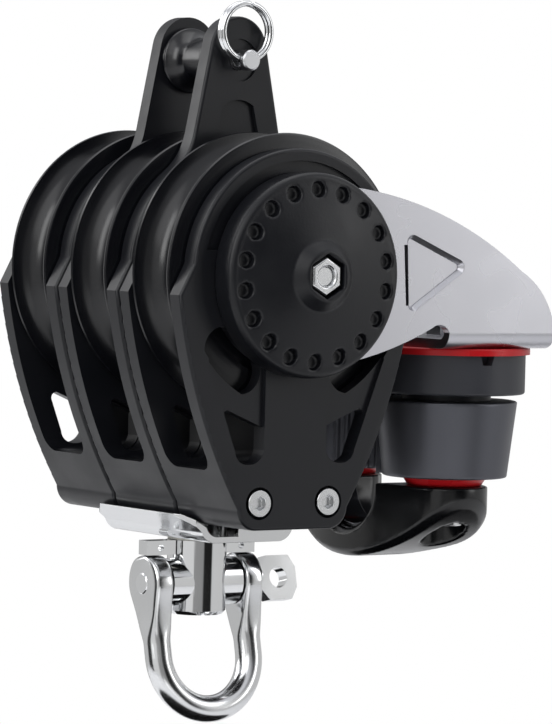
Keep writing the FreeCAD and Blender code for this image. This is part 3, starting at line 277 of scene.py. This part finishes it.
# Sheaves: black acetal wheels, moulded and then skimmed in a lathe, with a half-round rope
# groove between two thin rims. The lathe leaves faint rings and a soft gloss in the groove. Its
# real feed marks are finer and wouldn't show, so the rings are drawn about a millimetre apart.
SHEAVE_PITCH = 0.0234
SHEAVE_RADIUS, GROOVE_RADIUS = 28.5, 5.9
SHEAVE_SIDE = (  # radius and half width in millimetres, from the bore to the lip of the groove
    (13.7, 6.9), (15.3, 6.9), (15.3, 5.7), (21.1, 5.7), (21.1, 6.9), (27.8, 6.9), (28.3, 6.75),
    (SHEAVE_RADIUS, 6.35), (28.4, 5.92))
GROOVE_STEPS = 14
WHEEL_STEPS = 128
WHEEL_SHARP_DEG = 35
RING_MM = 1.257
RING_DEPTH_MM = 0.012
sheave_acetal = moulded("skimmed_black_acetal", "#0b0c10", roughness=0.24, grain_mm=1.2,
                        grain_depth_mm=0.004, gloss_swing=0.03, shine=0.45)
sheave_tree = sheave_acetal.node_tree
sheave_surface = next(n for n in sheave_tree.nodes if n.type == "BSDF_PRINCIPLED")
sheave_place = next(n for n in sheave_tree.nodes if n.type == "TEX_COORD")
# A wave texture repeats ten times in pi units, so this scale puts one ring in each RING_MM
rings = add_node(sheave_tree, "ShaderNodeTexWave", {"wave_type": "RINGS", "rings_direction": "Y"}, {
    "Vector": sheave_place.outputs["Object"], "Scale": 1000 / RING_MM * math.pi / 10,
    "Distortion": 0.6, "Detail": 1.0})
lathe_marks = add_node(sheave_tree, "ShaderNodeBump", inputs={
    "Height": rings.outputs["Fac"], "Distance": RING_DEPTH_MM / 1000, "Strength": 0.4})
sheave_tree.links.new(lathe_marks.outputs[0], sheave_surface.inputs["Normal"])
groove = []
for step in range(1, GROOVE_STEPS):
    angle = math.pi * step / GROOVE_STEPS
    groove.append((SHEAVE_RADIUS - GROOVE_RADIUS * math.sin(angle), GROOVE_RADIUS * math.cos(angle)))
other_side = [(radius, -half_width) for radius, half_width in reversed(SHEAVE_SIDE)]
sheave_section = list(SHEAVE_SIDE) + groove + other_side
for place, bay in enumerate(("near", "middle", "far")):
    centre_y = (place - 1) * SHEAVE_PITCH
    wheel = bmesh.new()
    outline = [wheel.verts.new((radius / 1000, centre_y + across / 1000, 0))
               for radius, across in sheave_section]
    edges = [wheel.edges.new((vert, outline[(i + 1) % len(outline)]))
             for i, vert in enumerate(outline)]
    bmesh.ops.spin(wheel, geom=outline + edges, cent=(0, centre_y, 0), axis=(0, 1, 0),
                   angle=2 * math.pi, steps=WHEEL_STEPS, use_merge=True)
    bmesh.ops.recalc_face_normals(wheel, faces=wheel.faces)
    piece = new_object(f"{bay}_sheave_turned", wheel, sheave_acetal)
    piece.data.shade_smooth()
    piece.data.set_sharp_from_angle(angle=math.radians(WHEEL_SHARP_DEG))
    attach(piece, f"{bay}_wheel")
    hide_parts(f"{bay}_sheave")


# Hubs and bearing balls: each hub is a hard-anodised aluminium inner race, and the balls are
# ground white acetal. They show only as a thin ring between sheave and cheek, the hub as a dull
# grey line and the balls as pale dots.
def metal(name, colour, roughness, grain_mm=0.5, grain_depth_mm=0.003, stretch=(1, 1, 1),
          gloss_swing=0.05, metallic=1.0, smear_mm=12.0, darker=0.04, lighter=0.03):
    """A bare or anodised metal: a fine grain, drawn out by stretch, and smears of uneven polish.

    The real grain is a tenth as wide and wouldn't show, so it is drawn coarser.
    """
    made = bpy.data.materials.new(name)
    made.use_nodes = True
    tree = made.node_tree
    tree.nodes.clear()
    place = add_node(tree, "ShaderNodeTexCoord")
    drawn = add_node(tree, "ShaderNodeMapping", inputs={
        "Vector": place.outputs["Object"], "Scale": stretch})
    grain = add_node(tree, "ShaderNodeTexNoise", inputs={
        "Vector": drawn.outputs[0], "Scale": 1000 / grain_mm, "Detail": 3.0})
    smear = add_node(tree, "ShaderNodeTexNoise", inputs={
        "Vector": place.outputs["Object"], "Scale": 1000 / smear_mm, "Detail": 1.0})
    tones = [[c * (1 + shift) for c in linear(colour)[:3]] + [1] for shift in (-darker, lighter)]
    tone = add_node(tree, "ShaderNodeMix", {"data_type": "RGBA"}, {
        0: smear.outputs["Fac"], 6: tones[0], 7: tones[1]})
    gloss = add_node(tree, "ShaderNodeMapRange", {"interpolation_type": "SMOOTHSTEP"}, {
        "Value": smear.outputs["Fac"], "From Min": NOISE_LOW, "From Max": NOISE_HIGH,
        "To Min": roughness - gloss_swing, "To Max": roughness + gloss_swing})
    relief = add_node(tree, "ShaderNodeBump", inputs={
        "Height": grain.outputs["Fac"], "Distance": grain_depth_mm / 1000, "Strength": 0.5})
    surface = add_node(tree, "ShaderNodeBsdfPrincipled", inputs={
        "Base Color": tone.outputs[2], "Metallic": metallic, "Roughness": gloss.outputs[0],
        "Normal": relief.outputs[0]})
    add_node(tree, "ShaderNodeOutputMaterial", inputs={"Surface": surface.outputs[0]})
    return made


hub_metal = metal("hard_anodised_hub", "#6d6f73", roughness=0.34)
ball_acetal = moulded("ground_white_acetal", "#dedcd4", roughness=0.22, grain_depth_mm=0.002,
                      mottle=0.03)
for bay in ("near", "middle", "far"):
    dress(f"{bay}_hub", hub_metal, edge_mm=0.2)
    dress(f"{bay}_bearing_balls", ball_acetal, edge_mm=0.0)

# Axle: a drawn stainless tube through all the cheeks, with one long bolt and nut down its middle
# that clamp the caps and the arm. The tube's grain runs along it. The nut and the bolt's end are
# cold formed, so they shine a little softly in the recess of the cap.
tube_steel = metal("drawn_stainless_tube", "#c6c7c9", roughness=0.25, stretch=(8, 1, 8))
fastener_steel = metal("cold_formed_stainless", "#d3d4d5", roughness=0.22, grain_mm=0.4,
                       grain_depth_mm=0.004)
dress("axle_tube", tube_steel)
dress("axle_bolt", fastener_steel, edge_mm=0.35)
dress("axle_nut", fastener_steel, edge_mm=0.3)


# Caps: two round nylon clamps with a ring of blind holes, a raised hub and a hexagon recess, held
# by the axle bolt. They come from a mould with soft corners and a deeper grain than the shells,
# so that light dies out slowly over every rim.
def soften(node, finish, skin_mm, flow_steps=6):
    """A copy of a CAD piece in an even skin that is smoothed until every edge is round."""
    piece = new_object(f"{node}_skin", merged_copy(node), finish)
    skin = piece.modifiers.new("even_skin", "REMESH")
    skin.mode = "VOXEL"
    skin.voxel_size = skin_mm / 1000
    skin.use_smooth_shade = True
    flow = piece.modifiers.new("soft_flow", "SMOOTH")
    flow.factor = 0.5
    flow.iterations = flow_steps
    stand_for(piece, node)


cap_nylon = moulded("moulded_nylon_cap", "#111216", roughness=0.36, grain_depth_mm=0.04)
soften("near_cap", cap_nylon, skin_mm=0.28, flow_steps=4)
soften("far_cap", cap_nylon, skin_mm=0.28, flow_steps=4)

# Cleat arm: two-millimetre stainless plate, blanked, pressed with a triangle in each wing,
# bent to a channel and tumbled. Tumbling leaves an even satin that is brighter on the bends.
arm_satin = metal("tumbled_stainless_plate", "#bcbcc1", roughness=0.28, grain_mm=0.35,
                  grain_depth_mm=0.001, gloss_swing=0.03)
dress("cleat_arm", arm_satin, edge_mm=0.3, smooth_deg=20)

# Red parts of the cleat: the gasket between arm and base, and the cap that closes each cam. They
# are moulded nylon with a smooth skin, which keeps the red deep and its highlights small.
red_nylon = moulded("moulded_red_nylon", "#b8171d", roughness=0.3, grain_depth_mm=0.006,
                    mottle=0.05)
for node in ("cleat_gasket", "near_cam_cap", "far_cam_cap"):
    dress(node, red_nylon, edge_mm=0.3)

# Cleat base: a dark grey nylon block that both cams turn under, screwed up against the gasket,
# with a small notch on each side. Its moulded skin is matt beside the red.
base_nylon = moulded("moulded_grey_nylon", "#333439", roughness=0.42)
dress("cleat_base", base_nylon, edge_mm=0.35)

# Cams: aluminium castings with upright teeth, tumbled until their edges are soft and then hard
# anodised. The thick oxide turns them a dark grey with a dull, half metallic shine.
cam_anodised = metal("hard_anodised_cam", "#57585e", roughness=0.4, grain_mm=0.35,
                     grain_depth_mm=0.008, metallic=0.75, gloss_swing=0.04)
soften("near_cam", cam_anodised, skin_mm=0.33)
soften("far_cam", cam_anodised, skin_mm=0.33)

# Cleat fasteners: two screws with their nuts, the drawn bushes that the cams turn on, and the
# torsion springs that close them, all stainless. The spring wire is a shade darker and smooth.
dress("cleat_screws", fastener_steel)
dress("cleat_nuts", fastener_steel)
dress("cam_bushes", tube_steel, edge_mm=0.2)
spring_wire = metal("drawn_spring_wire", "#b4b6b9", roughness=0.25)
dress("near_cam_spring", spring_wire, edge_mm=0.0)
dress("far_cam_spring", spring_wire, edge_mm=0.0)

# Fairlead: a thick bridge of black nylon under both cams, with every edge well rounded for the
# rope and a bent stainless liner in its eye. It comes from a polished mould and shines like wet
# stone. The liner's steel is coloured a dark grey: a painted reflection of the black round it.
fairlead_gloss = moulded("polished_black_nylon", "#0a0b0d", roughness=0.2, grain_mm=2.0,
                         grain_depth_mm=0.004, gloss_swing=0.03, shine=0.4)
soften("fairlead", fairlead_gloss, skin_mm=0.4)
# Painted reflection: the liner's steel is coloured dark grey to stand for the black it mirrors.
liner_painted_dark_reflection = metal("polished_steel_liner_painted_dark_reflection", "#4a4b4e", roughness=0.15)
dress("fairlead_liner", liner_painted_dark_reflection, edge_mm=0.2)

# Foot screws and nuts: two long socket screws that go through the anchor block and tie the three
# shells together at the foot, in the same cold-formed stainless as the axle bolt.
dress("foot_screws", fastener_steel, edge_mm=0.3)
dress("foot_nuts", fastener_steel, edge_mm=0.2)

# Hanger: the anchor block in the middle floor, the pressed strap that two rivets hold below it,
# and a plain acetal washer. The strap is polished after pressing and mirrors what is under it.
strap_steel = metal("polished_stainless_pressing", "#d6d7d8", roughness=0.14, grain_mm=0.8)
dress("anchor_block", tube_steel)
dress("hanger_strap", strap_steel, edge_mm=0.35)
dress("strap_rivets", fastener_steel, edge_mm=0.2)
washer_acetal = moulded("plain_acetal_washer", "#d8d6cd", roughness=0.4)
dress("swivel_washer", washer_acetal, edge_mm=0.15)

# Swivel post: an investment casting with a turned barrel and a flat cross bar, electropolished
# until it mirrors the tent, which gives it the long black and white streaks.
bright_steel = metal("electropolished_stainless", "#dfe0e1", roughness=0.08, grain_mm=1.5,
                     grain_depth_mm=0.005, gloss_swing=0.03)
dress("swivel_post", bright_steel, edge_mm=0.3, smooth_deg=25)

# Shackle: a bow forged from round bar, with its ends flattened to round eyes, and a pin with a
# flat tab through both eyes. The forging is buffed, so its mirror is softer than the swivel's.
# The bow is drawn upright with the pin at the origin, in millimetres, and hung in its place last.
PIN_DROP = 0.0651
BOW_LEAN_DEG = -13
BOW_HALF_SPAN, BAR_RADIUS, LEG_LENGTH = 11.2, 2.8, 15.5
EYE_RADIUS, EYE_HALF_THICKNESS, EYE_TOP_ROUNDING = 5.8, 2.3, 1.0
NECK_TOP, NECK_END = -2.0, -13.0
ROUNDING_FROM, ROUNDING_LENGTH = -5.5, 7.0  # where the flat eye turns into round bar
EYE_SQUARENESS, BAR_SQUARENESS = 6, 2  # exponents of the section's outline, 2 for an ellipse
EYE_LAST_DEG, EYE_STEP_DEG = -20, 5
NECK_STEPS, BEND_STEPS, BAR_SIDES = 16, 36, 48
SMALLEST_HALF_WIDTH = 0.05


def eased(share):
    """A share from 0 to 1 with a slow start and end."""
    share = min(max(share, 0), 1)
    return share * share * (3 - 2 * share)


def half_width_at(z):
    """Half the leg's width: a round eye, and below it a neck that runs out into the bar."""
    if z > NECK_TOP:
        return max(math.sqrt(max(EYE_RADIUS ** 2 - z ** 2, 0)), SMALLEST_HALF_WIDTH)
    start = math.sqrt(EYE_RADIUS ** 2 - NECK_TOP ** 2)
    slope = NECK_TOP / start * (NECK_TOP - NECK_END)
    share = min((NECK_TOP - z) / (NECK_TOP - NECK_END), 1)
    return start + (BAR_RADIUS - start) * eased(share) + slope * share * (1 - share) ** 2


def half_thickness_at(z):
    """Half the eye's thickness, which rounds off at its top."""
    over = max(z - (EYE_RADIUS - EYE_TOP_ROUNDING), 0)
    return EYE_HALF_THICKNESS - EYE_TOP_ROUNDING + math.sqrt(max(EYE_TOP_ROUNDING ** 2 - over ** 2, 0))


def signed_power(value, exponent):
    """A power that keeps the sign of its base."""
    return math.copysign(abs(value) ** exponent, value)


eye_heights = [EYE_RADIUS * math.sin(math.radians(angle))
               for angle in range(90, EYE_LAST_DEG - 1, -EYE_STEP_DEG)]
neck_heights = [NECK_TOP + (NECK_END - NECK_TOP) * step / NECK_STEPS
                for step in range(1, NECK_STEPS + 1)]
leg = []  # x and z of the middle, the bar's turn, half thickness, half width and squareness
for z in eye_heights + neck_heights + [-LEG_LENGTH]:
    roundness = eased((ROUNDING_FROM - z) / ROUNDING_LENGTH)
    flat = half_thickness_at(z)
    leg.append((-BOW_HALF_SPAN, z, 0.0, flat + (BAR_RADIUS - flat) * roundness, half_width_at(z),
                EYE_SQUARENESS + (BAR_SQUARENESS - EYE_SQUARENESS) * roundness))
bend = []
for step in range(1, BEND_STEPS):
    turn = math.pi * step / BEND_STEPS
    bend.append((-BOW_HALF_SPAN * math.cos(turn), -LEG_LENGTH - BOW_HALF_SPAN * math.sin(turn),
                 turn, BAR_RADIUS, BAR_RADIUS, BAR_SQUARENESS))
other_leg = [(-x, z, math.pi, thick, wide, square) for x, z, turn, thick, wide, square
             in reversed(leg)]
forging = bmesh.new()
hoops = []
for x, z, turn, thick, wide, square in leg + bend + other_leg:
    hoop = bmesh.ops.create_circle(forging, segments=BAR_SIDES, radius=1.0)["verts"]
    for step, vert in enumerate(hoop):
        angle = 2 * math.pi * step / BAR_SIDES
        out = signed_power(math.cos(angle), 2 / square) * thick
        side = signed_power(math.sin(angle), 2 / square) * wide
        vert.co = Vector((x + out * math.cos(turn), side, z + out * math.sin(turn))) / 1000
    hoops.append(list(dict.fromkeys(edge for vert in hoop for edge in vert.link_edges)))
for hoop, next_hoop in zip(hoops, hoops[1:]):
    bmesh.ops.bridge_loops(forging, edges=hoop + next_hoop)
for end in (hoops[0], hoops[-1]):
    bmesh.ops.edgeloop_fill(forging, edges=end)
bmesh.ops.recalc_face_normals(forging, faces=forging.faces)
hang = Matrix.Translation((0, 0, -PIN_DROP)) @ Matrix.Rotation(math.radians(BOW_LEAN_DEG), 4, "X")
bmesh.ops.transform(forging, matrix=hang, verts=forging.verts)
forged_steel = metal("forged_polished_stainless", "#d9dadb", roughness=0.16, grain_mm=0.8)
bow = new_object("forged_bow", forging, forged_steel)
bow.data.shade_smooth()
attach(bow, "shackle")
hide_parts("shackle_bow")
dress("shackle_pin", bright_steel, edge_mm=0.4)

# Becket fittings: a waisted acetal spool on a drawn clevis pin between the two arms, kept in by
# a split ring of bright wire. The spool has the sheaves' soft gloss, and the ring mirrors the tent.
dress("becket_spool", sheave_acetal)
dress("clevis_pin", tube_steel)
dress("split_ring", bright_steel, edge_mm=0.0)
